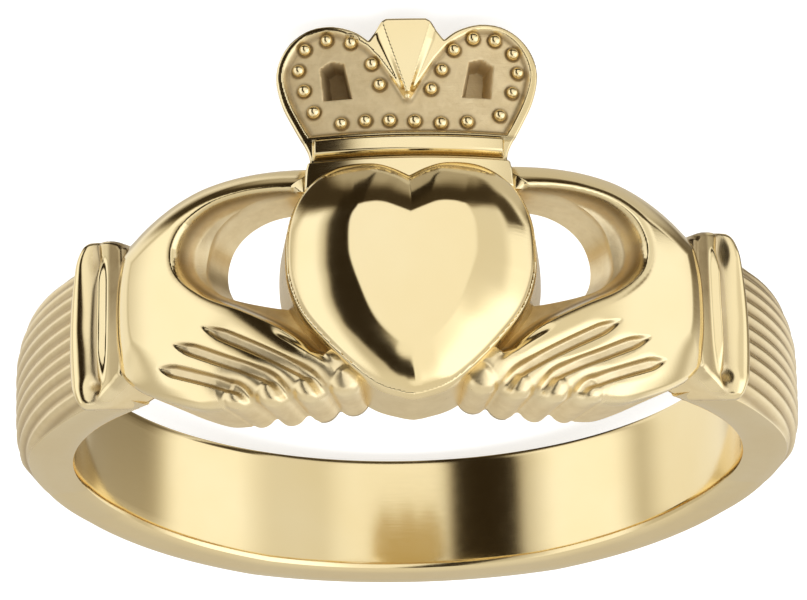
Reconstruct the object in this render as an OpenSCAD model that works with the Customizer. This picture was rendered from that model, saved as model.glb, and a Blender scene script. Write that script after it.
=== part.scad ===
// Claddagh ring: two cuffed hands hold a crowned heart.
// One cast piece of gold, so the whole ring is one solid.
// It is built upright, with the finger axis along Z, the crown up and the
// heart towards -Y, and is then laid down as a loose ring lies:
// on its side, on the crown's tips and the back of the band.
// Places on the head are given as arc (mm along the outside, from the
// middle of the heart) and z (mm along the finger axis).

/* [Band] */
// Radius of the finger hole
bore_r = 8.6; // [7.5:0.05:10]
// Height of the band at the back
band_h = 3.14; // [2.5:0.02:4]
// Height of the band where it meets the cuffs
band_front_h = 3.9; // [3.2:0.05:4.4]
// Thickness of the band at its edges
band_t = 1.22; // [1:0.02:1.6]
// How far the middle of the band's outside stands proud of its edges
band_crown = 0.14; // [0.05:0.01:0.2]

/* [Sleeves] */
// Outer radius of the ribbed sleeves
sleeve_r = 10.12; // [9.9:0.02:10.3]
// Distance between two ribs
rib_pitch = 0.36; // [0.32:0.02:0.6]
// Depth of the grooves between the ribs
rib_depth = 0.06; // [0.04:0.01:0.12]
// How far the sleeve is rounded off towards its edges
sleeve_round = 0.3; // [0.1:0.02:0.4]
// Angle from the heart at which the sleeve ends at the back
sleeve_end = 98; // [85:1:110]

/* [Cuffs] */
// Outer radius of the cuff between its ridges
cuff_r = 10.32; // [10.28:0.01:10.38]
// Radius of the round ridge next to the sleeve
cuff_outer_ridge = 0.4; // [0.3:0.02:0.5]
// Radius of the fine ridge next to the hand
cuff_inner_ridge = 0.2; // [0.12:0.02:0.3]
// Lower end of the cuff
cuff_bottom = -2.35; // [-2.5:0.05:-1.9]
// Upper end of the cuff
cuff_top = 2; // [1.7:0.05:2.1]

/* [Heart] */
// How far the heart stands out from the ring's axis
heart_r = 11.2; // [10.9:0.05:11.5]
// Height of the heart's tip
heart_tip = -3.68; // [-3.75:0.01:-3.5]

/* [Crown] */
// Height of the middle leaf's top
crown_top = 6.27; // [6:0.01:6.5]
// Radius of the crown's front
crown_r = 10.3; // [10.1:0.05:10.5]
// Radius of a bead
bead_r = 0.15; // [0.1:0.01:0.18]

/* [Hands] */
// Depth of the grooves between the fingers
groove_d = 0.22; // [0.1:0.02:0.3]
// Radius of a fingertip
tip_r = 0.47; // [0.4:0.01:0.48]

/* [Hidden] */
$fn = 96;
deg = 180 / PI;
wrap_r = 10.4;            // radius on which arcs are measured
back_y = bore_r + band_t; // rear edge of the band
gold = [0.82, 0.70, 0.45];

// Heart, right half of its outline, from the cleft to the tip: [arc, z]
HEART = [[0, 2.08], [0.42, 2.3], [0.95, 2.46], [1.6, 2.46], [2.22, 2.16],
         [2.72, 1.58], [2.98, 0.85], [3.04, 0.0], [2.96, -0.7], [2.68, -1.45],
         [2.16, -2.18], [1.54, -2.86], [0.88, -3.4], [0.3, -3.62], [0, heart_tip]];
heart_mid = [0, -0.6];
heart_dome = 6.6;         // radius of the heart's domed front

// Hand, its outline from the thumb's end over the wrist to the little finger: [arc, z]
HAND = [[2.4, 2.68], [3.2, 2.73], [4.0, 2.75], [4.8, 2.72], [5.6, 2.62], [6.3, 2.43], [7.0, 2.15],
        [7.7, 1.78], [8.22, 1.4], [8.46, 0.4], [8.46, -0.9], [8.22, -1.74], [7.7, -2.26], [7.0, -2.72],
        [6.2, -3.1], [5.5, -3.36]];
// Hand, layers from its foot to its back: [radius, how far the layer steps in from the outline]
HAND_LAYER = [[10.22, 0], [10.42, 0.16], [10.56, 0.42]];
hand_mid = [5.4, -0.5];
// Opening between thumb, fingers and heart: [arc, z]
EYE = [[3.15, 1.92], [4.1, 1.88], [4.86, 1.66], [5.38, 1.28], [5.62, 0.76],
       [5.56, 0.2], [5.16, -0.3], [4.5, -0.62], [3.8, -0.82], [3.15, -0.92]];
// Sunken web between the opening and the forefinger: [arc, z]
WEB = [[2.9, 2.0], [3.6, 2.06], [4.4, 2.04], [5.2, 1.86], [5.84, 1.40], [6.1, 0.78],
       [5.92, 0.1], [5.24, -0.54], [4.3, -1.06], [3.5, -1.52], [2.96, -1.92]];
// Grooves between the fingers: [start arc, start z, end arc, end z]
GROOVE = [[5.2, -1.36, 2.4, -3.2], [6.05, -1.64, 3.3, -3.3],
          [6.5, -2.16, 4.3, -3.3]];
// Middles of the round fingertips, little finger first: [arc, z]
TIP = [[4.5, -3.05], [3.56, -3.13], [2.62, -3.11], [1.74, -3.01]];
tip_cut = 24;             // angle at which one fingertip's round meets the next
HAND_OUTLINE = concat(HAND,
    [for (p = TIP) for (a = [-tip_cut:-(180 - 2 * tip_cut) / 6:tip_cut - 180]) p + tip_r * [cos(a), sin(a)]],
    [[1.3, -2.7], [2.4, -1.8]]);

// Crown, right half of its outline, from the leaf's top to the base: [arc, z]
CROWN = [[0, crown_top], [0.5, crown_top - 0.02], [0.68, 6.16], [0.8, 5.96],
         [0.95, 5.76], [1.28, 6.02], [1.7, 6.18], [2.1, 6.22], [2.54, 6.13],
         [2.96, 5.85], [3.25, 5.4], [3.33, 4.88], [3.18, 4.2], [2.88, 3.55],
         [2.6, 3.0], [2.52, 2.72], [2.6, 2.4], [2.64, 1.9]];
// Sunken floor of one lobe: [arc, z]
LOBE = [[1.3, 5.78], [1.7, 5.99], [2.1, 6.04], [2.5, 5.94], [2.82, 5.68],
        [3.04, 5.3], [3.1, 4.88], [2.95, 4.3], [2.68, 3.7], [2.46, 3.3],
        [0.1, 3.3], [0.1, 4.2], [0.3, 4.62], [0.7, 5.22], [1.0, 5.58]];
// Window in one lobe: [arc, z]
WINDOW = [[1.6, 5.22], [1.92, 5.3], [2.2, 5.14], [2.12, 4.28], [1.4, 4.28]];
// Beads: [arc, z]
BEAD = [[-1.4, 5.76], [-2.02, 5.87], [-2.58, 5.68], [-2.76, 5.14], [-2.62, 4.58], [-2.38, 3.98],
        [-0.88, 5.16], [-0.69, 4.6], [-1.68, 3.62], [-1.07, 3.65], [-0.46, 3.63], [0.17, 3.6],
        [0.83, 3.55], [1.5, 3.6], [0.6, 4.46], [0.88, 4.98], [1.2, 5.52], [1.7, 5.84], [2.26, 5.82],
        [2.72, 5.5], [2.84, 5.0], [2.68, 4.46], [2.34, 3.82]];

// How far the lower edge of the band is drawn in (next to the cuffs it stands out): [y, mm]
WAIST = [[8.4, 0], [6.6, 0.1], [4.3, 0.25], [2.2, 0.27], [-0.75, 0.12], [-3, -0.02], [-5, -0.15], [-8, -0.2]];
// How far its upper edge is drawn in next to the cuffs: [y, mm]
BROW = [[-8, 0.2], [-5, 0.18], [-3.4, 0.04]];

// The ring leans on the inner edge of the crown's tips and on the back of the band.
dome_r = 2.2 * 2.2 / (2 * band_crown) + band_crown / 2; // radius of the band's dome
heel_y = back_y + band_crown - dome_r + sqrt(dome_r * dome_r - band_h * band_h / 4);
lean = atan((crown_top - band_h / 2) / (bore_r + heel_y));
drop = crown_top * cos(lean) - bore_r * sin(lean);
mid_y = 0.82;             // shift that centres the ring's box on the origin

// a point on the head: arc and z at radius r
function at(p, r) = [r * sin(p[0] / wrap_r * deg), -r * cos(p[0] / wrap_r * deg), p[1]];
function mirrored(P) = [for (i = [len(P) - 1:-1:0]) [-P[i][0], P[i][1]]];
function curve(a, b, c, d, t) = 0.5 * (2 * b + (c - a) * t + (2 * a - 5 * b + 4 * c - d) * t * t
    + (3 * b - a - 3 * c + d) * t * t * t);
// a smooth curve through the points of a table, n steps between two points
function smooth(P, n) = concat([for (i = [0:len(P) - 2]) for (j = [0:n - 1])
    curve(P[max(i - 1, 0)], P[i], P[i + 1], P[min(i + 2, len(P) - 1)], j / n)], [P[len(P) - 1]]);
// arc and z seen straight from the front
function flat(P) = [for (p = P) [wrap_r * sin(p[0] / wrap_r * deg), p[1]]];
// arc and z seen along the radius at arc m
function flat_at(P, m) = [for (p = P) [wrap_r * sin((p[0] - m) / wrap_r * deg), p[1]]];
// point p moved the distance d towards the point m
function towards(p, m, d) = p + d / max(norm(m - p), d + 0.01) * (m - p);
// how far the sleeve's surface has dropped at the height v
function fall(v) = sleeve_round * pow(max(abs(v) - 0.6, 0) / 1.2, 2);
function rest(P) = [for (i = [1:len(P) - 1]) P[i]];

// upright plate with outline P, between two distances in front of the axis
module plate(P, y0, y1) {
    translate([0, -y0, 0]) rotate([90, 0, 0]) linear_extrude(height = y1 - y0) polygon(P);
}

// the part of the ring within half the angle a of the direction turn
module wedge(a, turn) {
    rotate([0, 0, turn - 90]) translate([0, 0, -8]) linear_extrude(height = 16)
        polygon([[0, 0], for (i = [-4:4]) [16 * cos(i * a / 8), 16 * sin(i * a / 8)]]);
}

// band with a domed outside, widening from the back to the cuffs
module band_profile() {
    intersection() {
        translate([bore_r - 0.6, -2.2]) square([band_t + band_crown + 0.7, 4.4]);
        translate([back_y + band_crown - dome_r, 0]) circle(r = dome_r, $fn = 360);
    }
}

module taper(h_back, h_front) {
    rotate([90, 0, 90]) linear_extrude(height = 30, center = true)
        polygon([[12, -h_back / 2], for (p = WAIST) [p[0], p[1] - h_back / 2 - (h_front - h_back) / 34 * (9 - p[0])],
                 for (p = BROW) [p[0], h_back / 2 + (h_front - h_back) / 34 * (9 - p[0]) - p[1]],
                 [9, h_back / 2], [12, h_back / 2]]);
}

// plain band at the back, with ribbed sleeves towards the cuffs
module band() {
    color(gold) intersection() {
        union() {
            rotate_extrude($fn = 180) band_profile();
            for (side = [-1, 1]) sleeve(side);
        }
        taper(band_h, band_front_h);
        wedge(262, 180);
    }
}

// ribs that run along the band, from the cuff to the back
module sleeve(side) {
    intersection() {
        difference() {
            rotate_extrude($fn = 180) polygon(concat([[bore_r - 0.4, -2.1]],
                [for (v = [-2:0.25:2]) [sleeve_r - fall(v), v]], [[bore_r - 0.4, 2.1]]));
            for (i = [-5:4]) rotate_extrude($fn = 120)
                translate([sleeve_r - fall((i + 0.5) * rib_pitch) + 0.1, (i + 0.5) * rib_pitch])
                    circle(r = 0.1 + rib_depth, $fn = 16);
        }
        wedge(sleeve_end - 50, side * (sleeve_end + 50) / 2);
    }
}

module cuff(side) {
    h = cuff_top - cuff_bottom;
    color(gold) {
        intersection() {
            translate([0, 0, cuff_bottom + 0.1]) cylinder(r = cuff_r - 0.04, h = h - 0.3, $fn = 180);
            wedge(11.4, side * 50.2);
        }
        rotate([0, 0, side * 52.9]) translate([0, -10.14, cuff_bottom])
            cylinder(r = cuff_outer_ridge, h = h, $fn = 48);
        rotate([0, 0, side * 48.7]) translate([0, -10.31, cuff_bottom + 0.5])
            cylinder(r = cuff_inner_ridge, h = h - 0.85, $fn = 32);
    }
}

module heart() {
    half = smooth(HEART, 2);
    outline = concat(half, [for (p = mirrored(half)) if (p[0] < -0.001) p]);
    color(gold) intersection() {
        plate(flat(outline), 3, 12);
        translate([0, heart_dome - heart_r, heart_mid[1]]) sphere(r = heart_dome, $fn = 180);
    }
}

// one hand with its thumb along the top and its fingers along the bottom
module hand(side) {
    mid = 4.6;
    color(gold) difference() {
        for (q = HAND_LAYER) intersection() {
            plate([for (p = HAND_OUTLINE) let (c = towards(p, hand_mid, q[1]), w = flat([c])[0]) [side * w[0], w[1]]], 3, 12);
            translate([0, 0, -6]) cylinder(r = q[0], h = 12, $fn = 180);
        }
        rotate([0, 0, side * mid / wrap_r * deg]) {
            plate([for (p = EYE) [side * flat_at([p], mid)[0][0], p[1]]], 6, 13);
            plate([for (p = WEB) [side * flat_at([p], mid)[0][0], p[1]]], 9.5, 13);
        }
        for (g = GROOVE) {
            p = at([side * g[0], g[1]], 10.72);
            q = at([side * g[2], g[3]], 10.4);
            d = q - p;
            translate(p) rotate([0, acos(d[2] / norm(d)), atan2(d[1], d[0])])
                cylinder(r = groove_d, h = norm(d), $fn = 16);
        }
    }
}

module crown() {
    outline = concat(CROWN, mirrored(rest(CROWN)));
    color(gold) {
        difference() {
            intersection() {
                plate(flat(outline), 6, 12);
                cylinder(r = crown_r, h = 8, $fn = 180);
            }
            intersection() {
                difference() {
                    cylinder(r = 12, h = 8);
                    translate([0, 0, -1]) cylinder(r = crown_r - 0.14, h = 10, $fn = 180);
                }
                union() {
                    plate(flat(LOBE), 6, 12);
                    plate(flat(mirrored(LOBE)), 6, 12);
                }
            }
            plate(flat(WINDOW), 9.72, 12);
            plate(flat(mirrored(WINDOW)), 9.72, 12);
        }
        // middle leaf
        intersection() {
            plate(flat([[-0.5, crown_top - 0.04], [-0.62, 6.05], [-0.1, 4.25], [0.1, 4.25], [0.62, 6.05],
                        [0.5, crown_top - 0.04]]), 8, 12);
            cylinder(r = crown_r + 0.1, h = 8, $fn = 180);
        }
        for (p = BEAD) translate(at(p, crown_r - 0.15)) sphere(r = bead_r, $fn = 24);
        // rounded bar and lower step of the crown's base
        intersection() {
            rotate_extrude($fn = 180) translate([crown_r - 0.08, 2.95]) circle(r = 0.22, $fn = 32);
            plate([[-2.4, 2], [-2.4, 4], [2.4, 4], [2.4, 2]], 5, 12);
        }
        intersection() {
            translate([0, 0, 1.6]) cylinder(r = crown_r + 0.02, h = 1.02, $fn = 180);
            plate([[-2.46, 1], [-2.46, 4], [2.46, 4], [2.46, 1]], 5, 12);
        }
    }
}

module ring() {
    translate([0, mid_y, drop]) rotate([-lean, 0, 0]) rotate([0, 180, 0]) color(gold) difference() {
        union() {
            band();
            heart();
            crown();
            for (side = [-1, 1]) {
                hand(side);
                cuff(side);
            }
        }
        translate([0, 0, -10]) cylinder(r = bore_r, h = 20, $fn = 180);
    }
}

ring();
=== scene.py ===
import math
import bpy
import numpy as np
from mathutils import Matrix, Vector


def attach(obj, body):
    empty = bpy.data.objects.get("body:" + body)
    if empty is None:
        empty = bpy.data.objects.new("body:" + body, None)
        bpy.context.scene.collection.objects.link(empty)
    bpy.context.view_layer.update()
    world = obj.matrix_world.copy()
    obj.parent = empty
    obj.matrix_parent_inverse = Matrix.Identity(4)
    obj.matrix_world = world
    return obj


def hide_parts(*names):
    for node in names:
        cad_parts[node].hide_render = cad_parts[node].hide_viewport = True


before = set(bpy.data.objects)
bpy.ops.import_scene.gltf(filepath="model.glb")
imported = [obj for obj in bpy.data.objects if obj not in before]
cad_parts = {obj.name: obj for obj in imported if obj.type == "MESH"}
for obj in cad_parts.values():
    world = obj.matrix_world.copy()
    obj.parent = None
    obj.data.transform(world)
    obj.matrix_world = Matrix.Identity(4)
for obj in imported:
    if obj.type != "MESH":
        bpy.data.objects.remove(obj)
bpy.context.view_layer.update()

# ---------------------------------------------------------------- sizes, in mm, as in the part
BORE = 8.6                # radius of the finger hole
BAND_T, DOME = 1.22, 0.14 # band's thickness at its edges, and how far its middle stands proud
BAND_H, FRONT_H = 3.14, 3.9
WRAP = 10.4               # radius on which arcs are measured
CROWN_TOP = 6.27
MID_Y = 0.82
RIB = 0.36                # distance between two ribs

back_y = BORE + BAND_T
dome_r = 2.2 * 2.2 / (2 * DOME) + DOME / 2
heel_y = back_y + DOME - dome_r + math.sqrt(dome_r ** 2 - BAND_H ** 2 / 4)
LEAN = math.atan((CROWN_TOP - BAND_H / 2) / (BORE + heel_y))
DROP = CROWN_TOP * math.cos(LEAN) - BORE * math.sin(LEAN)

cl, sl = math.cos(LEAN), math.sin(LEAN)
LAY = np.array([[-1, 0, 0], [0, cl, -sl], [0, -sl, -cl]])  # upright ring -> ring lying crown down


def lay(P):
    """Points of the upright ring (mm) in the scene's frame (m)."""
    return (np.asarray(P) @ LAY.T + [0, MID_Y, DROP]) / 1000


# ---------------------------------------------------------------- camera, as the photograph's
def put_camera():
    phi, alpha, roll = math.radians(21.5), math.radians(-1.0), math.radians(-1.26)
    back = np.array([math.sin(alpha) * math.cos(phi), -math.cos(alpha) * math.cos(phi), -math.sin(phi)])
    right = np.cross(-back, [0, 0, 1]); right /= np.linalg.norm(right)
    up = np.cross(right, -back)
    r2 = right * math.cos(roll) + up * math.sin(roll)
    u2 = up * math.cos(roll) - right * math.sin(roll)
    pos = lay(back * 150 + r2 * -0.088 + u2 * 2.69)
    m = Matrix.Identity(4)
    for i, v in enumerate((LAY @ r2, LAY @ u2, LAY @ back)):
        for j in range(3):
            m[j][i] = v[j]
    for j in range(3):
        m[j][3] = pos[j]
    data = bpy.data.cameras.new("camera")
    data.sensor_fit, data.sensor_width, data.lens = "HORIZONTAL", 36, 5781 * 36 / 807
    data.clip_start, data.clip_end = 0.01, 20
    cam = bpy.data.objects.new("camera", data)
    cam.matrix_world = m
    bpy.context.scene.collection.objects.link(cam)
    bpy.context.scene.camera = cam


put_camera()


# ---------------------------------------------------------------- drawing in arc and z
def curve(P, n=8, closed=False):
    """A smooth curve through the points of a table."""
    P = np.asarray(P, float)
    k = len(P)
    out = []
    for i in range(k if closed else k - 1):
        idx = [(i - 1) % k, i, (i + 1) % k, (i + 2) % k] if closed else [max(i - 1, 0), i, i + 1, min(i + 2, k - 1)]
        a, b, c, d = P[idx]
        t = np.arange(n)[:, None] / n
        out.append(0.5 * (2 * b + (c - a) * t + (2 * a - 5 * b + 4 * c - d) * t * t + (3 * b - a - 3 * c + d) * t ** 3))
    if not closed:
        out.append(P[-1:])
    return np.concatenate(out)


def far(U, V, P, closed=False):
    """Distance from the points to a line of points."""
    P = np.asarray(P, float)
    ends = list(zip(P, np.roll(P, -1, 0))) if closed else list(zip(P[:-1], P[1:]))
    best = np.full(U.shape, 1e9)
    for a, b in ends:
        d = b - a
        q = max(d @ d, 1e-12)
        t = np.clip(((U - a[0]) * d[0] + (V - a[1]) * d[1]) / q, 0, 1)
        best = np.minimum(best, (U - a[0] - t * d[0]) ** 2 + (V - a[1] - t * d[1]) ** 2)
    return np.sqrt(best)


def along(U, V, P):
    """Distance to a line of points, and how far along it (0 to 1) the nearest point is."""
    P = np.asarray(P, float)
    run = np.concatenate([[0], np.cumsum(np.linalg.norm(np.diff(P, axis=0), axis=1))])
    best, where = np.full(U.shape, 1e9), np.zeros(U.shape)
    for i, (a, b) in enumerate(zip(P[:-1], P[1:])):
        d = b - a
        t = np.clip(((U - a[0]) * d[0] + (V - a[1]) * d[1]) / max(d @ d, 1e-12), 0, 1)
        e = (U - a[0] - t * d[0]) ** 2 + (V - a[1] - t * d[1]) ** 2
        near = e < best
        best = np.where(near, e, best)
        where = np.where(near, (run[i] + t * (run[i + 1] - run[i])) / run[-1], where)
    return np.sqrt(best), where


def within(U, V, P):
    """Signed distance to a closed outline, above 0 inside it."""
    P = np.asarray(P, float)
    odd = np.zeros(U.shape, bool)
    for a, b in zip(P, np.roll(P, -1, 0)):
        if a[1] == b[1]:
            continue
        odd ^= ((a[1] > V) != (b[1] > V)) & (U < (b[0] - a[0]) * (V - a[1]) / (b[1] - a[1]) + a[0])
    return np.where(odd, 1, -1) * far(U, V, P, True)


def step(x, a, b):
    """0 below a, 1 above b, smooth between."""
    t = np.clip((x - a) / (b - a), 0, 1)
    return t * t * (3 - 2 * t)


def unit(P):
    return P / np.maximum(np.linalg.norm(P, axis=1), 1e-9)[:, None]


def fillet(D, r):
    """How far a rounded edge of radius r has dropped at the distance D from the edge."""
    t = np.clip(1 - D / r, 0, 1)
    return r * (1 - np.sqrt(np.clip(1 - t * t, 0, 1)))


def soft_max(a, b, k):
    t = np.clip(0.5 + 0.5 * (a - b) / k, 0, 1)
    return b + (a - b) * t + k * t * (1 - t)


def soft_min(a, b, k):
    return -soft_max(-a, -b, k)


def round_wall(U, V, R):
    """Arc and z on the radius R."""
    return np.stack([R * np.sin(U / WRAP), -R * np.cos(U / WRAP), V], -1)


def straight(U, V, R):
    """x and z at the depth R in front of the axis."""
    return np.stack([U, -R, V], -1)


# ---------------------------------------------------------------- solid relief over an outline
def relief(name, inside, top, bottom, box, h, put, levels=3, flare=None, lines=(), free_edge=None):
    """A closed solid: the outline where inside() is above 0, raised to top() and down to bottom().
    The grid's points near a crease, where one of lines() is 0, move onto it."""
    u0, u1, v0, v1 = box
    us, vs = np.arange(u0, u1 + h, h), np.arange(v0, v1 + h, h)
    U, V = np.meshgrid(us, vs)
    F = inside(U, V)
    gv, gu = np.gradient(F, h)
    g = np.maximum(np.hypot(gu, gv), 0.3)
    near = np.abs(F) < 0.33 * h   # grid points close to the outline move onto it
    U = np.where(near, U - F * gu / g ** 2, U)
    V = np.where(near, V - F * gv / g ** 2, V)
    F = np.where(near, 0.0, F)
    free = ~near
    for line in lines:
        C = line(U, V)
        e = 0.2 * h
        cu = (line(U + e, V) - line(U - e, V)) / (2 * e)
        cv = (line(U, V + e) - line(U, V - e)) / (2 * e)
        g2 = np.maximum(cu ** 2 + cv ** 2, 0.2)
        move = free & (np.abs(C) < 0.42 * h)
        U = np.where(move, U - C * cu / g2, U)
        V = np.where(move, V - C * cv / g2, V)
        free &= ~move
    ids = -np.ones(F.shape, int)
    keep = F >= 0
    pts_u, pts_v = list(U[keep]), list(V[keep])
    ids[keep] = np.arange(keep.sum())
    cut = {}

    def crossing(i, j, k, l):
        key = ((i, j), (k, l)) if (i, j) < (k, l) else ((k, l), (i, j))
        if key not in cut:
            a, b = F[i, j], F[k, l]
            t = a / (a - b)
            cut[key] = len(pts_u)
            pts_u.append(U[i, j] + t * (U[k, l] - U[i, j]))
            pts_v.append(V[i, j] + t * (V[k, l] - V[i, j]))
        return cut[key]

    pos = F > 0
    anypos = pos[:-1, :-1] | pos[1:, :-1] | pos[:-1, 1:] | pos[1:, 1:]
    full = keep[:-1, :-1] & keep[1:, :-1] & keep[:-1, 1:] & keep[1:, 1:] & anypos
    fi, fj = np.nonzero(full)
    faces = [tuple(q) for q in np.stack([ids[fi, fj], ids[fi, fj + 1], ids[fi + 1, fj + 1], ids[fi + 1, fj]], 1)]
    for i, j in zip(*np.nonzero(anypos & ~full)):
        ring = [(i, j), (i, j + 1), (i + 1, j + 1), (i + 1, j)]
        poly = []
        for a, b in zip(ring, ring[1:] + ring[:1]):
            if keep[a]:
                poly.append(ids[a])
            if (F[a] > 0 > F[b]) or (F[a] < 0 < F[b]):
                poly.append(crossing(*a, *b))
        if len(poly) >= 3:
            faces.append(tuple(poly))
    PU, PV = np.array(pts_u), np.array(pts_v)
    # drop the points that no face uses
    used = np.zeros(len(PU), bool)
    for f in faces:
        used[list(f)] = True
    new = np.cumsum(used) - 1
    PU, PV = PU[used], PV[used]
    faces = [tuple(int(new[k]) for k in f) for f in faces]
    n = len(PU)
    edges = {}
    for f in faces:
        for a, b in zip(f, f[1:] + f[:1]):
            edges[(a, b)] = edges.get((a, b), 0) + 1
    border = [(a, b) for (a, b) in edges if (b, a) not in edges]
    rim = sorted({a for a, b in border} | {b for a, b in border})
    rim_id = {v: i for i, v in enumerate(rim)}
    T, B = top(PU, PV), bottom(PU, PV)
    # the foot steps in a little along the finger hole, as a polished edge does
    D = inside(PU, PV)
    e = h * 0.5
    du = (inside(PU + e, PV) - inside(PU - e, PV)) / (2 * e)
    dv = (inside(PU, PV + e) - inside(PU, PV - e)) / (2 * e)
    L = np.maximum(np.hypot(du, dv), 0.5)
    inset = 0.09 * np.clip(1 - np.maximum(D, 0) / 0.25, 0, 1)
    if free_edge:
        inset = inset * free_edge(PU, PV)
    BU, BV = PU + du / L * inset, PV + dv / L * inset
    F1 = flare if flare else (lambda U, V, t: (U, V))
    parts = [put(PU, PV, T)]
    RU, RV = PU[rim], PV[rim]
    for k in range(1, levels + 1):
        t = k / (levels + 1) if k < levels else 1.0
        R = T[rim] + (B[rim] + 0.1 - T[rim]) * t
        parts.append(put(*F1(RU, RV, t), R))
    parts.append(put(*F1(BU, BV, 1.0), B))
    P = np.concatenate(parts)
    m = len(rim)
    all_faces = list(faces)
    first = lambda k, v: v if k == 0 else (n + (k - 1) * m + rim_id[v] if k <= levels else n + levels * m + v)
    for a, b in border:
        for k in range(levels + 1):
            all_faces.append((first(k, b), first(k, a), first(k + 1, a), first(k + 1, b)))
    base = n + levels * m
    all_faces += [tuple(base + v for v in f[::-1]) for f in faces]
    # normals: of the relief on top, of the outline on the wall, of the finger hole below
    e = h * 0.3
    across = put(PU + e, PV, top(PU + e, PV)) - put(PU - e, PV, top(PU - e, PV))
    upward = put(PU, PV + e, top(PU, PV + e)) - put(PU, PV - e, top(PU, PV - e))
    over = unit(np.cross(across, upward))
    flat = unit(put(PU + e, PV, T) - put(PU - e, PV, T))
    wall = unit(flat * (-du / L)[:, None] + np.array([0, 0, 1]) * (-dv / L)[:, None])
    below = -unit(parts[-1] * [1, 1, 0])
    soft = unit(wall + over * 0.6)
    normals = [over[v] for f in faces for v in f]
    for a, b in border:
        for k in range(levels + 1):
            upper = (soft[b], soft[a]) if k == 0 else (wall[b], wall[a])
            lower = (below[a], below[b]) if k == levels else (wall[a], wall[b])
            normals += [*upper, *lower]
    normals += [below[v] for f in faces for v in f[::-1]]
    o = make(name, P, all_faces, normals)
    # worn along the front's edge: partly real wear, partly a painted highlight on the rim
    edge = 0.9 * np.exp(-(np.maximum(D, 0) / 0.07) ** 2)
    tell(o, "wear_and_highlight", np.concatenate([edge, np.full(m, 0.5), np.zeros((levels - 1) * m + n)]))
    zone = np.concatenate([np.zeros(n), np.ones(levels * m), np.full(n, 2.0)])
    return o, np.concatenate([PU] + [RU] * levels + [PU]), np.concatenate([PV] + [RV] * levels + [PV]), zone


def make(name, P, faces, normals=None, arcs=None, angle=38):
    """A mesh from points of the upright ring; it carries arc, z and radius (mm) for the material."""
    mesh = bpy.data.meshes.new(name)
    mesh.from_pydata(lay(P).tolist(), [], faces)
    mesh.update()
    mesh.shade_smooth()
    if normals is not None:
        mesh.normals_split_custom_set((np.asarray(normals) @ LAY.T).tolist())
    else:
        vol = 0.0
        co = lay(P)
        c0 = co.mean(0)
        for f in faces[:: max(1, len(faces) // 20000)]:
            a, b, c = co[f[0]] - c0, co[f[1]] - c0, co[f[2]] - c0
            vol += np.dot(a, np.cross(b, c))
        if vol < 0:
            mesh.flip_normals()
        mesh.set_sharp_from_angle(angle=math.radians(angle))
    if arcs is None:
        arcs = np.arctan2(P[:, 0], -P[:, 1]) * WRAP
    grain = mesh.attributes.new("grain", "FLOAT_VECTOR", "POINT")
    grain.data.foreach_set("vector", np.stack([arcs, P[:, 2], np.hypot(P[:, 0], P[:, 1])], 1).astype(np.float32).ravel())
    o = bpy.data.objects.new(name, mesh)
    bpy.context.scene.collection.objects.link(o)
    return o


def tell(o, name, values):
    """Store a number per vertex for the material."""
    a = o.data.attributes.new(name, "FLOAT", "POINT")
    a.data.foreach_set("value", np.asarray(values, np.float32))


PIECES = []


def keep(o):
    PIECES.append(o)
    return o


# ---------------------------------------------------------------- tables: [arc, z] on the head
HEART = [[0, 2.08], [0.42, 2.3], [0.95, 2.46], [1.6, 2.46], [2.22, 2.16], [2.72, 1.58], [2.98, 0.85], [3.04, 0.0],
         [2.96, -0.7], [2.68, -1.45], [2.16, -2.18], [1.54, -2.86], [0.88, -3.4], [0.3, -3.62], [0, -3.68]]
HAND = [[2.4, 2.68], [3.2, 2.73], [4.0, 2.75], [4.8, 2.72], [5.6, 2.62], [6.3, 2.43], [7.0, 2.15], [7.7, 1.78],
        [8.22, 1.4], [8.46, 0.4], [8.46, -0.9], [8.22, -1.74], [7.7, -2.26], [7.0, -2.72], [6.2, -3.1],
        [5.5, -3.36], [4.9, -3.44]]
TIP = [[4.5, -3.02], [3.56, -3.1], [2.62, -3.08], [1.74, -2.98]]
TIP_R = 0.5
TIP_CUT = 0.3             # how far below a fingertip's middle the hand's straight edge runs
EYE = [[1.9, 1.9], [3.15, 1.92], [4.1, 1.88], [4.86, 1.66], [5.38, 1.28], [5.62, 0.76],
       [5.56, 0.2], [5.16, -0.3], [4.5, -0.62], [3.8, -0.82], [3.15, -0.92], [1.9, -1.0]]
WEB = [[2.9, 2.0], [3.6, 2.06], [4.4, 2.04], [5.2, 1.86], [5.84, 1.40], [6.1, 0.78],
       [5.92, 0.1], [5.24, -0.54], [4.3, -1.06], [3.5, -1.52], [2.96, -1.92], [2.5, -2.36], [2.2, -2.5], [1.7, -2.0], [1.7, 1.2]]
# grooves between the fingers, from the back of the hand to the fingertips: [arc, z]
GROOVE = [[[5.3, -1.34], [4.6, -1.74], [3.8, -2.2], [3.1, -2.62], [2.52, -3.0], [2.18, -3.5]],
          [[6.15, -1.62], [5.4, -1.98], [4.7, -2.34], [4.0, -2.68], [3.45, -3.0], [3.09, -3.55]],
          [[6.6, -2.14], [5.95, -2.4], [5.3, -2.68], [4.7, -2.94], [4.3, -3.14], [4.03, -3.6]]]
FORE = [[3.5, -1.7], [2.95, -2.04], [2.4, -2.42], [1.9, -2.84]]  # fine line along the forefinger
GROOVE_W = 0.14           # half width of a groove
CROWN = [[0, CROWN_TOP], [0.5, CROWN_TOP], [0.66, 6.16], [0.8, 5.96],
         [0.95, 5.76], [1.26, 6.0], [1.68, 6.17], [2.1, 6.22], [2.54, 6.13],
         [2.96, 5.85], [3.25, 5.4], [3.33, 4.88], [3.18, 4.2], [2.88, 3.55],
         [2.6, 3.0], [2.52, 2.72], [2.6, 2.4], [2.64, 1.9]]
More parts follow.
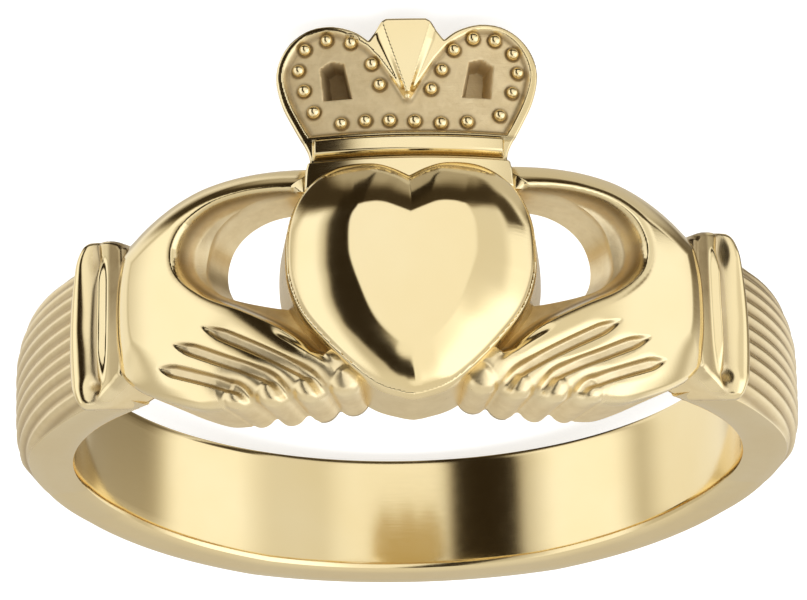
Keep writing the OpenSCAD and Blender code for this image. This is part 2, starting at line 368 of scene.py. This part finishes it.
LOBE = [[1.3, 5.78], [1.7, 5.99], [2.1, 6.04], [2.5, 5.94], [2.82, 5.68],
        [3.04, 5.3], [3.1, 4.88], [2.95, 4.3], [2.68, 3.7], [2.46, 3.3],
        [1.6, 3.3], [-0.5, 3.3], [-0.5, 4.1], [0.04, 4.18], [0.3, 4.62], [0.7, 5.22], [1.0, 5.58]]
WINDOW = [[1.6, 5.22], [1.92, 5.3], [2.2, 5.14], [2.12, 4.28], [1.4, 4.28]]
BEAD = [[-1.4, 5.76], [-2.02, 5.87], [-2.58, 5.68], [-2.76, 5.14], [-2.62, 4.58], [-2.38, 3.98],
        [-0.88, 5.16], [-0.69, 4.6], [-1.68, 3.62], [-1.07, 3.65], [-0.46, 3.63], [0.17, 3.6], [0.83, 3.55],
        [1.5, 3.6], [0.6, 4.46], [0.88, 4.98], [1.2, 5.52], [1.7, 5.84], [2.26, 5.82], [2.72, 5.5],
        [2.84, 5.0], [2.68, 4.46], [2.34, 3.82]]


# ---------------------------------------------------------------- heart
def build_heart():
    right = curve(HEART, 8)
    lead = right[0] - 1.6 * (right[3] - right[0]) / np.linalg.norm(right[3] - right[0])
    right_far = np.concatenate([[lead], right])
    outline = np.concatenate([right, (right * [-1, 1])[::-1][1:-1]])

    def inside(U, V):
        return within(U, V, outline)

    def depth_in(U, V):
        return far(np.abs(U), V, right_far)

    def top(U, V):
        D = depth_in(U, V)
        side = step(np.abs(U), 0.5, 1.6) * step(V, -2.4, -0.6)
        w = 1.12 + 0.36 * side - 0.06 * step(-V, 1.5, 3.0) + 0.2 * step(V, 0.6, 1.8)
        u = np.clip(D / w, 0, 1.4)
        q = soft_max(1 - u, 0 * u, 0.07)
        # the bevel starts gently at the raised middle and steepens towards the edge
        drop = w * (0.21 * q + 0.25 * np.clip(q, 0, 1) ** 3.2) * (1 - 0.15 * step(-V, 1.0, 3.5))
        dome = 11.2 - 0.022 * (U ** 2 + 0.8 * (V + 0.6) ** 2)
        return dome - drop - fillet(D, 0.12)

    def bottom(U, V):
        return np.sqrt(np.maximum(8.61 ** 2 - U ** 2, 1))

    def flare(U, V, t):
        return U * (1 + 0.06 * t), V

    o, U, V, zone = relief("heart", inside, top, bottom, (-3.2, 3.2, -3.8, 2.6), 0.034, straight, flare=flare)
    tell(o, "satin", np.where(zone > 0, 0.55, 0.0) * (zone < 2))
    return keep(o)


# ---------------------------------------------------------------- hands
def build_hand(side, name):
    ends = [[c[0], c[1] - TIP_CUT] for c in TIP]
    body = np.concatenate([curve(HAND, 6), ends, [[1.27, -2.7], [2.0, -1.6], [2.3, 0.5], [2.3, 2.5]]])
    eye = np.concatenate([curve(EYE[1:-1], 6), [EYE[-1], EYE[0]]])
    web = np.concatenate([curve(WEB[:12], 6), WEB[12:]])
    grooves = [curve(g, 6) for g in GROOVE]
    fore = curve(FORE, 4)

    def outer(S, V):
        D = within(S, V, body)
        for c in TIP:
            D = soft_max(D, TIP_R - np.hypot(S - c[0], V - c[1]), 0.06)
        return D

    def inside(U, V):
        S = side * U
        return np.minimum(outer(S, V), -within(S, V, eye))

    def half_width(t):
        return GROOVE_W * step(t, -0.04, 0.2)

    def top(U, V):
        S = side * U
        D = outer(S, V)
        W = within(S, V, web)
        # back of the hand: high at the knuckles, falling towards wrist, thumb and fingertips
        r = 10.62 - 0.05 * ((S - 5.6) / 2.2) ** 2 - 0.10 * np.clip((V - 0.2) / 1.6, 0, 2) ** 2
        upper = step(V, -2.6, -1.2)
        r = r - 0.52 * np.clip(1 - D / 1.05, 0, 1) ** 1.8 * upper
        r = r - 0.26 * np.clip(1 - D / 0.9, 0, 1) ** 2 * (1 - upper)
        # fingers: low ridges parted by flat grooves
        for g in grooves:
            d, t = along(S, V, g)
            half = half_width(t)
            r = r - 0.05 * np.clip(1 - (d - half) / 0.3, 0, 1) ** 2 * step(t, 0.0, 0.3)
            r = r - 0.12 * (1 - step(d - half, -0.075, 0.05)) * step(t, 0.0, 0.14) * (1 - step(t, 0.74, 0.92))
            r = r - 0.12 * np.exp(-(d / 0.16) ** 2) * step(t, 0.55, 0.9)
        d, t = along(S, V, fore)
        r = r - 0.045 * (1 - step(d, 0.0, 0.13)) * step(t, 0.0, 0.35) * (1 - step(t, 0.8, 1.0))
        r = r - 0.06 * np.clip(1 + W / 0.3, 0, 1) ** 2
        # sunken web between the thumb and the forefinger
        floor_r = 9.95 - 0.53 * step(W, 0.05, 0.9)
        r = r + (floor_r - r) * step(W, -0.05, 0.25)
        return r - fillet(np.where(W > 0, 9, D), 0.16)

    def bottom(U, V):
        return np.full(U.shape, 8.605)

    def groove_edge(g, off):
        def line(U, V):
            d, t = along(side * U, V, g)
            return d - half_width(t) - off
        return line

    lines = [groove_edge(g, off) for g in grooves for off in (0.05, -0.07)]
    lines += [lambda U, V: inside(U, V) - 0.05, lambda U, V: inside(U, V) - 0.11]
    box = (1.2, 8.7, -3.7, 2.8) if side > 0 else (-8.7, -1.2, -3.7, 2.8)
    o, U, V, zone = relief(name, inside, top, bottom, box, 0.028, round_wall, levels=4, lines=lines,
                           free_edge=lambda U, V: step(side * U, 2.7, 3.1))
    S = side * U
    # dark: painted shade along the web's crease, the grooves' edges and the forefinger's line
    W = within(S, V, web) - 0.03
    satin, dark = 1.25 * step(W, 0.0, 0.12), 0.7 * np.exp(-((W - 0.06) / 0.06) ** 2)
    for g in grooves:
        d, t = along(S, V, g)
        half = half_width(t)
        on = step(t, 0.0, 0.12) * (1 - step(t, 0.76, 0.92))
        satin = np.maximum(satin, 0.8 * on * (1 - step(d - half, -0.05, 0.03)))
        dark = np.maximum(dark, 0.5 * on * np.exp(-((d - half + 0.01) / 0.04) ** 2))
        dark = np.maximum(dark, 0.08 * on * (1 - step(d - half, -0.04, 0.0)))
    d, t = along(S, V, fore)
    dark = np.maximum(dark, 0.4 * (1 - step(d, 0.0, 0.08)) * step(t, 0.05, 0.4) * (1 - step(t, 0.85, 1.0)))
    # painted shade in the notches between the fingertips
    for i in range(3):   # the notches between the fingertips
        c = (np.array(TIP[i]) + TIP[i + 1]) / 2 + [0, -0.25]
        dark = np.maximum(dark, 0.22 * np.exp(-(((S - c[0]) / 0.09) ** 2 + ((V - c[1]) / 0.3) ** 2)))
    near_tip = np.min([np.hypot(S - c[0], V - c[1]) for c in TIP], axis=0)
    satin = np.maximum(satin, 0.6 * (1 - step(near_tip, 0.4, 0.85)))
    satin = np.where(zone > 0, 0.9, satin)
    tell(o, "satin", np.where(zone == 2, 0.0, satin))
    tell(o, "dark", np.where(zone == 0, dark, 0.0))
    return keep(o)


# ---------------------------------------------------------------- crown
def build_crown():
    right = np.array(CROWN)
    right = np.concatenate([[CROWN[0]], curve(CROWN[1:5], 6)[:-1], curve(CROWN[4:16], 8)[:-1], CROWN[15:]])
    outline = np.concatenate([right, (right * [-1, 1])[::-1][:-1]])
    lobe = np.concatenate([curve(LOBE[:10], 6), LOBE[10:]])
    window = np.array(WINDOW)

    def inside(U, V):
        return within(U, V, outline)

    def top(U, V):
        S = np.abs(U)
        D = within(U, V, outline)
        L = within(S, V, lobe)
        N = within(S, V, window)
        r = 10.31 - 0.15 * step(L, -0.06, 0.08) - 0.6 * step(N, -0.03, 0.12)
        # a dimple under each bead
        for b in BEAD:
            r = r - 0.05 * (1 - step(np.hypot(U - b[0], V - b[1]), 0.14, 0.23))
        # middle leaf with a flat middle and two slanting sides
        a = 0.6 * np.clip((V - 4.2) / 2.0, 0.0, 1)
        b = 0.07 + 0.9 * np.clip((V - 4.15) / 1.6, 0, 1)
        leaf = 10.45 - 0.34 * np.clip((S - a) / np.maximum(b - a, 0.18), 0, 3) - 1.2 * np.clip((4.32 - V) / 0.5, 0, 1)
        r = soft_max(r, leaf, 0.05)
        r = np.where(V > 5.6, np.where(S > 0.95, r, np.minimum(r, 10.5)), r)
        # rounded bar and the step under it
        off = np.clip(np.abs(V - 2.95) - 0.12, 0, 1)
        bar = 10.16 + 0.27 * np.sqrt(np.clip(1 - (off / 0.13) ** 2, 0, 1)) * step(2.44 - S, 0.0, 0.14)
        base = np.where(V > 2.62, 10.12 + 0 * V, 10.12 + 0.24 * step(2.66 - V, 0.0, 0.1))
        r = np.where(V < 3.2, soft_max(bar, soft_min(r, base, 0.05), 0.03), r)
        return r - fillet(D, 0.08)

    def bottom(U, V):
        return np.full(U.shape, 8.6)

    lines = [lambda U, V: within(np.abs(U), V, lobe) + 0.05, lambda U, V: within(np.abs(U), V, lobe) - 0.06,
             lambda U, V: within(np.abs(U), V, window) + 0.03, lambda U, V: within(np.abs(U), V, window) - 0.07,
             lambda U, V: V - 2.7, lambda U, V: V - 3.2]
    o, U, V, zone = relief("crown", inside, top, bottom, (-3.5, 3.5, 1.85, 6.35), 0.031, round_wall, levels=4,
                           lines=lines, free_edge=lambda U, V: step(V, 2.5, 2.9))
    S = np.abs(U)
    L, N = within(S, V, lobe), within(S, V, window)
    a = 0.07 + 0.9 * np.clip((V - 4.15) / 1.6, 0, 1) - np.where(V < 4.2, 0.2, 0.0)
    open_floor = step(L, -0.05, 0.05) * step(S - a, -0.05, 0.05)
    satin = 1.7 * open_floor
    satin = np.where((zone > 0) & (zone < 2), 0.5, satin)
    # dark: painted shade along the lobes' inner edges, in the windows (deeper in the left one than the right), in rings
    # round the beads and along the bar's two lines
    dark = 0.45 * np.exp(-((L - 0.05) / 0.06) ** 2) * step(S - a, -0.05, 0.05)
    dark = np.maximum(dark, 0.75 * step(N, -0.02, 0.08) * (0.55 + 0.45 * (U < 0)))
    for b in BEAD:
        dark = np.maximum(dark, 0.55 * np.exp(-((np.hypot(U - b[0], V - b[1]) - 0.17) / 0.05) ** 2))
    dark = np.maximum(dark, 0.6 * np.exp(-((V - 2.68) / 0.05) ** 2) + 0.4 * np.exp(-((V - 3.22) / 0.04) ** 2))
    tell(o, "satin", np.where(zone == 2, 0.0, satin))
    tell(o, "dark", np.where(zone == 0, dark, 0.0))
    keep(o)
    # beads, each a small ball sunk a third into the floor
    P, faces = [], []
    rings, around = 16, 28
    for k, b in enumerate(BEAD):
        th = b[0] / WRAP
        c = np.array([10.17 * math.sin(th), -10.17 * math.cos(th), b[1]])
        size = 0.158 + 0.008 * math.sin(5.3 * k)
        first = sum(len(p) for p in P)
        ball = []
        for i in range(1, rings):
            e = math.pi * i / rings
            for j in range(around):
                f = 2 * math.pi * j / around
                ball.append([math.sin(e) * math.cos(f), math.sin(e) * math.sin(f), math.cos(e)])
        ball += [[0, 0, 1], [0, 0, -1]]
        P.append(c + np.array(ball) * size)
        at = lambda i, j: first + (i - 1) * around + j % around
        for i in range(1, rings - 1):
            for j in range(around):
                faces.append((at(i, j), at(i + 1, j), at(i + 1, j + 1), at(i, j + 1)))
        north, south = first + (rings - 1) * around, first + (rings - 1) * around + 1
        for j in range(around):
            faces.append((north, at(1, j), at(1, j + 1)))
            faces.append((south, at(rings - 1, j + 1), at(rings - 1, j)))
    beads = make("crown_beads", np.concatenate(P), faces, angle=180)
    tell(beads, "satin", np.zeros(len(beads.data.vertices)))
    keep(beads)


# ---------------------------------------------------------------- cuffs
PITS = ((1.42, 0.13, 0.10, 0.4), (-1.84, 0.22, 0.10, 0.17))   # between the ridges: z, depth, half width and height


def build_cuff(side, name):
    outline = curve([[8.05, 1.2], [8.15, 1.66], [8.45, 1.86], [8.85, 1.98], [9.22, 2.0], [9.5, 1.86], [9.76, 1.5],
                     [9.98, 0.95], [10.12, 0.3], [10.16, -0.4], [10.14, -1.1], [10.02, -1.74], [9.8, -2.18],
                     [9.48, -2.36], [9.1, -2.28], [8.7, -2.1], [8.3, -1.9], [8.05, -1.5]], 6, closed=True)

    def inside(U, V):
        return within(side * U, V, outline)

    def ridges(S, V):
        """Middle and half width of the wide ridge, and the middle of the fine one, at the height z."""
        t = np.clip((V + 0.2) / 2.15, -1.05, 1.05)
        mid = 9.6 - 0.26 * t * t - 0.09 * t
        half = 0.46 + 0.05 * step(-t, 0.0, 0.4) - 0.19 * step(t, 0.1, 1.0) - 0.18 * step(-t, 0.66, 1.0)
        return mid, half, 8.82 - 0.05 * t + 0.04 * t * t, t

    def hump(x):
        return 0.5 + 0.5 * np.cos(math.pi * np.clip(x, -1, 1))

    def top(U, V):
        S = side * U
        D = within(S, V, outline)
        mid, half, fine_mid, t = ridges(S, V)
        fall = 0.24 * np.clip((np.abs(t) - 0.7) / 0.35, 0, 1) ** 2
        wide = 10.06 + 0.48 * hump((S - mid) / (half + 0.14)) ** 0.7 - fall
        fine = 10.14 + 0.2 * np.exp(-((S - fine_mid) / 0.13) ** 2) * step(t, -0.95, -0.3) * (1 - step(t, 0.45, 0.95)) - fall
        flat = 10.17 + 0 * S
        r = soft_max(soft_max(flat, fine, 0.03), wide, 0.12)
        # pits between the two ridges, at their upper and lower ends
        gap = (mid - half + fine_mid + 0.2) / 2
        for z, k, w, h in PITS:
            r = r - k * np.exp(-((S - gap - 0.02) / w) ** 2 - ((V - z) / h) ** 2)
        return r - fillet(D, 0.16)

    def bottom(U, V):
        return np.full(U.shape, 8.612)

    def flare(U, V, t):
        """The cuff's underside slants up to the band's lower edge."""
        return U, np.where(V < -1.9, -1.9 + (V + 1.9) * (1 - 0.75 * t), V)

    box = (7.95, 10.3, -2.5, 2.15) if side > 0 else (-10.3, -7.95, -2.5, 2.15)
    o, U, V, zone = relief(name, inside, top, bottom, box, 0.03, round_wall, levels=3, flare=flare)
    S = side * U
    mid, half, fine_mid, t = ridges(S, V)
    gap = (mid - half + fine_mid + 0.2) / 2
    # dark: painted shade in the gap and pits between the ridges, and along the inner side where the cuff meets the
    # hand, stronger towards the top
    pit = np.exp(-((S - gap) / 0.12) ** 2)
    hole = sum(3.2 * k * np.exp(-((S - gap - 0.02) / w) ** 2 - ((V - z) / h) ** 2) for z, k, w, h in PITS)
    dark = np.clip(np.maximum(0.4 * pit * step(t, -1.0, -0.9), hole), 0, 1) + \
        0.7 * (1 - step(S, 8.5, 8.66)) * (0.4 + 0.6 * step(V, -1.0, 0.6))
    tell(o, "satin", np.where(zone == 1, 0.6, np.where(zone == 2, 0.0, 0.7 * pit)))
    tell(o, "dark", np.where(zone == 0, dark, 0.0))
    return keep(o)


# ---------------------------------------------------------------- shank with its ribbed sleeves
def build_shank():
    n_turn = 520
    turns = np.radians(np.linspace(49, 311, n_turn))
    out_n, in_n = 112, 14
    P, satin, dark, wear_and_highlight = [], [], [], []
    for a in turns:
        far_turn = min(a, 2 * math.pi - a) * 180 / math.pi   # degrees from the heart
        y = -BORE * math.cos(a)
        half = (BAND_H + (FRONT_H - BAND_H) * np.clip((9 - y) / 17, 0, 1)) / 2
        waist = float(np.interp(far_turn, [49, 55, 69, 85, 105, 120, 140, 155],
                                [-0.16, -0.14, -0.02, 0.12, 0.27, 0.25, 0.1, 0.0]))
        low = half - waist
        brow = 0.18 * float(1 - step(np.array(far_turn), 56.0, 70.0))
        half = half - brow
        rib = float(1 - step(np.array(far_turn), 93.0, 100.0))
        t = np.linspace(-1, 1, out_n)
        v = np.where(t < 0, t * (low - 0.06), t * (half - 0.06))
        dome = back_y + DOME - dome_r + np.sqrt(dome_r ** 2 - v ** 2)
        wave = 0.5 - 0.5 * np.cos(2 * math.pi * (v / RIB + 0.5))
        fall = 0.3 * (np.clip(np.abs(v) - 0.6, 0, 2) / 1.2) ** 2
        ribs = 10.12 - 0.075 * wave - fall
        edge = 0.06 * np.clip((np.abs(v) - (np.where(v < 0, low, half) - 0.25)) / 0.19, 0, 1) ** 2
        edge = edge + 0.10 * max(waist, 0) / 0.27 * np.clip((-v - (low - 0.5)) / 0.44, 0, 1) ** 2
        R = dome + (ribs - dome) * rib - edge
        outer = np.stack([R, v], 1)
        r_hi, r_lo = R[-1], R[0]
        # up over the edge, along the flat side, over the small bevel and down the finger hole
        side_hi = [[r_hi - 0.03, half - 0.015], [r_hi - 0.09, half]] + \
            [[r_hi - 0.09 + (BORE + 0.12 - r_hi + 0.09) * t, half] for t in (0.35, 0.7, 1.0)] + \
            [[BORE + 0.05, half - 0.03], [BORE + 0.012, half - 0.1]]
        bore = [[BORE + 0.006 * (v2 / half) ** 2, v2] for v2 in np.linspace(half - 0.2, -low + 0.2, in_n)]
        side_lo = [[p[0] + (r_lo - r_hi if i < 2 else 0), waist - brow - p[1]] for i, p in enumerate(side_hi)][::-1]
        prof = np.concatenate([outer, side_hi, bore, side_lo])
        P.append(np.stack([prof[:, 0] * math.sin(a), -prof[:, 0] * math.cos(a), prof[:, 1]], 1))
        s = np.zeros(len(prof))
        s[:out_n] = rib * (0.55 + 0.45 * wave)
        s[out_n:out_n + 7] = 0.12
        s[-7:] = 0.12
        satin.append(s)
        # painted shade in the valleys between the ribs
        k = np.zeros(len(prof))
        k[:out_n] = 0.42 * rib * wave ** 2
        dark.append(k)
        # rims and rib crests paler: partly real wear, partly a painted highlight on the crests
        w = np.zeros(len(prof))
        w[:out_n] = 0.6 * rib * (1 - wave)
        w[[0, out_n - 1, out_n, out_n + 1, -1, -2]] = 0.8
        wear_and_highlight.append(w)
    m = len(P[0])
    P = np.concatenate(P)
    faces = []
    for i in range(n_turn - 1):
        for j in range(m):
            k = (j + 1) % m
            faces.append((i * m + j, i * m + k, (i + 1) * m + k, (i + 1) * m + j))
    # closed ends, hidden in the hands
    for i, order in ((0, -1), (n_turn - 1, 1)):
        ids = list(range(i * m, (i + 1) * m))[::order]
        faces.append(tuple(ids))
    o = make("shank", P, faces, arcs=np.repeat(turns * WRAP, m))
    tell(o, "satin", np.concatenate(satin))
    tell(o, "dark", np.concatenate(dark))
    tell(o, "wear_and_highlight", np.concatenate(wear_and_highlight))
    return keep(o)


build_heart()
build_hand(1, "hand_right")
build_hand(-1, "hand_left")
build_crown()
build_cuff(1, "cuff_right")
build_cuff(-1, "cuff_left")
build_shank()


# ---------------------------------------------------------------- gold
def gold():
    mat = bpy.data.materials.new("pale_gold")
    mat.use_nodes = True
    nt = mat.node_tree
    nt.nodes.clear()
    N, L = nt.nodes.new, nt.links.new
    out, bsdf = N("ShaderNodeOutputMaterial"), N("ShaderNodeBsdfPrincipled")
    L(bsdf.outputs[0], out.inputs[0])
    bsdf.inputs["Metallic"].default_value = 1.0
    co = N("ShaderNodeTexCoord")

    def told(name, out):
        a = N("ShaderNodeAttribute"); a.attribute_name = name
        return a.outputs[out]

    satin, dark, grain = told("satin", "Fac"), told("dark", "Fac"), told("grain", "Vector")

    def noise(scale, detail, rough=0.55, vector=None, distortion=0.0):
        n = N("ShaderNodeTexNoise")
        n.inputs["Scale"].default_value = scale
        n.inputs["Detail"].default_value = detail
        n.inputs["Roughness"].default_value = rough
        n.inputs["Distortion"].default_value = distortion
        L(vector or co.outputs["Object"], n.inputs["Vector"])
        return n.outputs["Fac"]

    def stretched(k):
        m = N("ShaderNodeVectorMath"); m.operation = "MULTIPLY"
        L(grain, m.inputs[0])
        m.inputs[1].default_value = k
        return m.outputs[0]

    def ramp(source, stops):
        r = N("ShaderNodeValToRGB")
        e = r.color_ramp.elements
        while len(e) < len(stops):
            e.new(0.5)
        for q, (p, c) in zip(e, stops):
            q.position, q.color = p, (*c, 1) if len(c) == 3 else c
        L(source, r.inputs[0])
        return r

    def mix(fac, a, b, kind="RGBA"):
        m = N("ShaderNodeMix"); m.data_type = kind
        i = 6 if kind == "RGBA" else 2
        for k, v in ((0, fac), (i, a), (i + 1, b)):
            if hasattr(v, "links"):
                L(v, m.inputs[k])
            else:
                m.inputs[k].default_value = v
        return m.outputs[2 if kind == "RGBA" else 0]

    def maths(op, a, b, c=None):
        m = N("ShaderNodeMath"); m.operation = op
        for k, v in enumerate((a, b, c)):
            if v is None:
                continue
            if hasattr(v, "links"):
                L(v, m.inputs[k])
            else:
                m.inputs[k].default_value = v
        return m.outputs[0]

    broad = noise(240, 3)
    fine = noise(2800, 4, 0.62)
    # polishing marks: long along the band, fine across it, and a few thin hairlines
    brush = noise(1.0, 4, 0.6, stretched((0.9, 26.0, 12.0)))
    hair = noise(1.0, 1, 0.5, stretched((1.7, 30.0, 2.0)))
    hair = ramp(hair, [(0.66, (0, 0, 0)), (0.74, (1, 1, 1))]).outputs["Color"]
    wear_and_highlight = maths("MULTIPLY", told("wear_and_highlight", "Fac"), ramp(broad, [(0.35, (0.3, 0.3, 0.3)), (0.6, (1, 1, 1))]).outputs["Color"])
    # colour: slow drift of the alloy's tint, duller where satin, painted shade in brown in the creases, paler on worn
    # edges as wear and painted highlight
    tint = ramp(broad, [(0.3, (0.87, 0.70, 0.375)), (0.7, (0.90, 0.75, 0.44))]).outputs["Color"]
    dull = ramp(fine, [(0.35, (0.82, 0.66, 0.385)), (0.65, (0.91, 0.755, 0.47))]).outputs["Color"]
    base = mix(satin, tint, dull)
    base = mix(maths("MULTIPLY", wear_and_highlight, 0.5), base, (0.95, 0.83, 0.56, 1))
    # painted shade: the dark attribute mixes the colour towards dark brown in creases, grooves and pits
    depth = maths("MULTIPLY", dark, maths("MULTIPLY_ADD", fine, 0.5, 0.72))
    base = mix(depth, base, (0.17, 0.095, 0.025, 1))
    L(base, bsdf.inputs["Base Color"])
    # roughness: polished faces, satin recesses, marks from polishing and wear
    rough = maths("MULTIPLY_ADD", satin, 0.30, 0.07)
    rough = maths("MULTIPLY_ADD", fine, 0.05, rough)
    rough = maths("MULTIPLY_ADD", brush, 0.06, rough)
    rough = maths("MULTIPLY_ADD", hair, 0.03, rough)
    rough = maths("MULTIPLY_ADD", dark, 0.12, rough)
    L(rough, bsdf.inputs["Roughness"])
    height = maths("MULTIPLY_ADD", brush, 0.35, maths("MULTIPLY", fine, maths("MULTIPLY_ADD", satin, 0.9, 0.1)))
    height = maths("MULTIPLY_ADD", hair, -0.04, height)
    bump = N("ShaderNodeBump")
    bump.inputs["Distance"].default_value = 0.00002
    L(maths("MULTIPLY_ADD", satin, 0.45, 0.06), bump.inputs["Strength"])
    L(height, bump.inputs["Height"])
    L(bump.outputs[0], bsdf.inputs["Normal"])
    return mat


GOLD = gold()
for o in PIECES:
    o.data.materials.append(GOLD)
    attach(o, "root")
    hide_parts("ring")


# ---------------------------------------------------------------- floor and light
def stage():
    me = bpy.data.meshes.new("floor")
    n = 128
    R = 0.25
    ring = [(R * math.cos(2 * math.pi * i / n), R * math.sin(2 * math.pi * i / n), 0) for i in range(n)]
    me.from_pydata(ring, [], [tuple(range(n))])
    floor = bpy.data.objects.new("floor", me)
    bpy.context.scene.collection.objects.link(floor)
    m = bpy.data.materials.new("floor")
    m.use_nodes = True
    b = m.node_tree.nodes["Principled BSDF"]
    b.inputs["Base Color"].default_value = (0.55, 0.55, 0.55, 1)
    b.inputs["Roughness"].default_value = 0.9
    b.inputs["Specular IOR Level"].default_value = 0.1
    b.inputs["Emission Color"].default_value = (1, 1, 1, 1)
    b.inputs["Emission Strength"].default_value = 0.7
    me.materials.append(m)
    floor.visible_glossy = False


stage()


def light():
    """A soft white tent with a dark slit on the left of the front and a dark gap over the crown."""
    world = bpy.data.worlds.new("studio")
    bpy.context.scene.world = world
    world.use_nodes = True
    nt = world.node_tree
    nt.nodes.clear()
    N, L = nt.nodes.new, nt.links.new

    def put_in(socket, v):
        if hasattr(v, "links"):
            L(v, socket)
        else:
            socket.default_value = v

    def maths(op, a, b=None, c=None):
        m = N("ShaderNodeMath"); m.operation = op
        for k, v in enumerate((a, b, c)):
            if v is not None:
                put_in(m.inputs[k], v)
        return m.outputs[0]

    def edge(x, a, b):
        m = N("ShaderNodeMapRange"); m.interpolation_type = "SMOOTHSTEP"
        put_in(m.inputs[0], x)
        m.inputs[1].default_value, m.inputs[2].default_value = min(a, b), max(a, b)
        m.inputs[3].default_value, m.inputs[4].default_value = (0, 1) if a < b else (1, 0)
        return m.outputs[0]

    def band(x, a, b, soft):
        return maths("MULTIPLY", edge(x, a - soft, a + soft), edge(x, b + soft, b - soft))

    def both(a, b):
        return maths("MULTIPLY", a, b)

    def level(old, mask, new):
        """old, moved to new where the mask is 1."""
        return maths("ADD", maths("MULTIPLY", old, maths("SUBTRACT", 1.0, mask)), maths("MULTIPLY", mask, new))

    way = N("ShaderNodeTexCoord").outputs["Generated"]
    comp = []
    for i in range(3):
        d = N("ShaderNodeVectorMath"); d.operation = "DOT_PRODUCT"
        L(way, d.inputs[0])
        d.inputs[1].default_value = tuple(LAY[:, i])
        comp.append(d.outputs["Value"])
    x, y, z = comp
    # directions of the upright ring, in degrees: az from the heart's front to the right, el up to the crown
    az = maths("MULTIPLY", maths("ARCTAN2", x, maths("MULTIPLY", y, -1.0)), 180 / math.pi)
    el = maths("MULTIPLY", maths("ARCSINE", z), 180 / math.pi)

    E = 0.62
    E = level(E, edge(el, -15, -45), 0.80)
    E = level(E, both(band(az, -150, -98, 8), edge(el, 0, 12)), 1.0)
    E = level(E, both(band(az, -86, -48, 8), edge(el, -50, -25)), 1.20)
    E = level(E, both(band(az, -14, 30, 5), edge(el, -66, -48)), 1.08)
    E = level(E, both(band(az, 26, 60, 8), edge(el, -60, -40)), 0.84)
    E = level(E, both(band(az, 56, 95, 8), edge(el, -50, -25)), 1.18)
    E = level(E, both(band(az, 24, 82, 10), band(el, -45, 7, 6)), 1.6)
    E = level(E, both(band(az, 112, 152, 8), band(el, -25, 12, 6)), 1.05)
    E = level(E, both(band(az, 100, 150, 8), band(el, 20, 42, 5)), 0.16)
    E = level(E, both(edge(el, 40, 50), band(az, -135, 88, 12)), 0.05)
    E = level(E, both(edge(el, 62, 76), band(az, -135, 88, 12)), 0.45)
    E = level(E, both(edge(el, 50, 60), edge(az, 84, 96)), 0.65)
    E = level(E, both(band(az, 58, 88, 4), band(el, 29, 56, 3)), 0.07)
    slant = maths("ADD", az, maths("MULTIPLY", maths("MINIMUM", el, 0.0), 0.55))
    E = level(E, both(band(slant, -41, -16, 2.5), edge(el, -50, -38)), 0.025)
    bg = N("ShaderNodeBackground")
    tone = N("ShaderNodeCombineColor")
    for i, k in enumerate((1.0, 1.1, 1.28)):   # dim parts of the tent are warmer
        L(maths("POWER", E, k), tone.inputs[i])
    L(tone.outputs[0], bg.inputs[0])
    plain = N("ShaderNodeBackground")
    plain.inputs[0].default_value = (0.96, 0.96, 0.96, 1)
    seen = N("ShaderNodeLightPath").outputs["Is Camera Ray"]
    mix = N("ShaderNodeMixShader")
    L(seen, mix.inputs[0]); L(bg.outputs[0], mix.inputs[1]); L(plain.outputs[0], mix.inputs[2])
    out = N("ShaderNodeOutputWorld")
    L(mix.outputs[0], out.inputs[0])

    lamp = bpy.data.lights.new("softbox", "AREA")
    lamp.shape, lamp.size = "DISK", 0.5
    lamp.energy = 1.2
    o = bpy.data.objects.new("softbox", lamp)
    o.location = (0, -0.05, 0.5)
    o.rotation_euler = (math.radians(-6), 0, 0)
    o.visible_glossy = False
    bpy.context.scene.collection.objects.link(o)
    bpy.context.scene.view_settings.view_transform = "Standard"
    bpy.context.scene.view_settings.look = "None"


light()
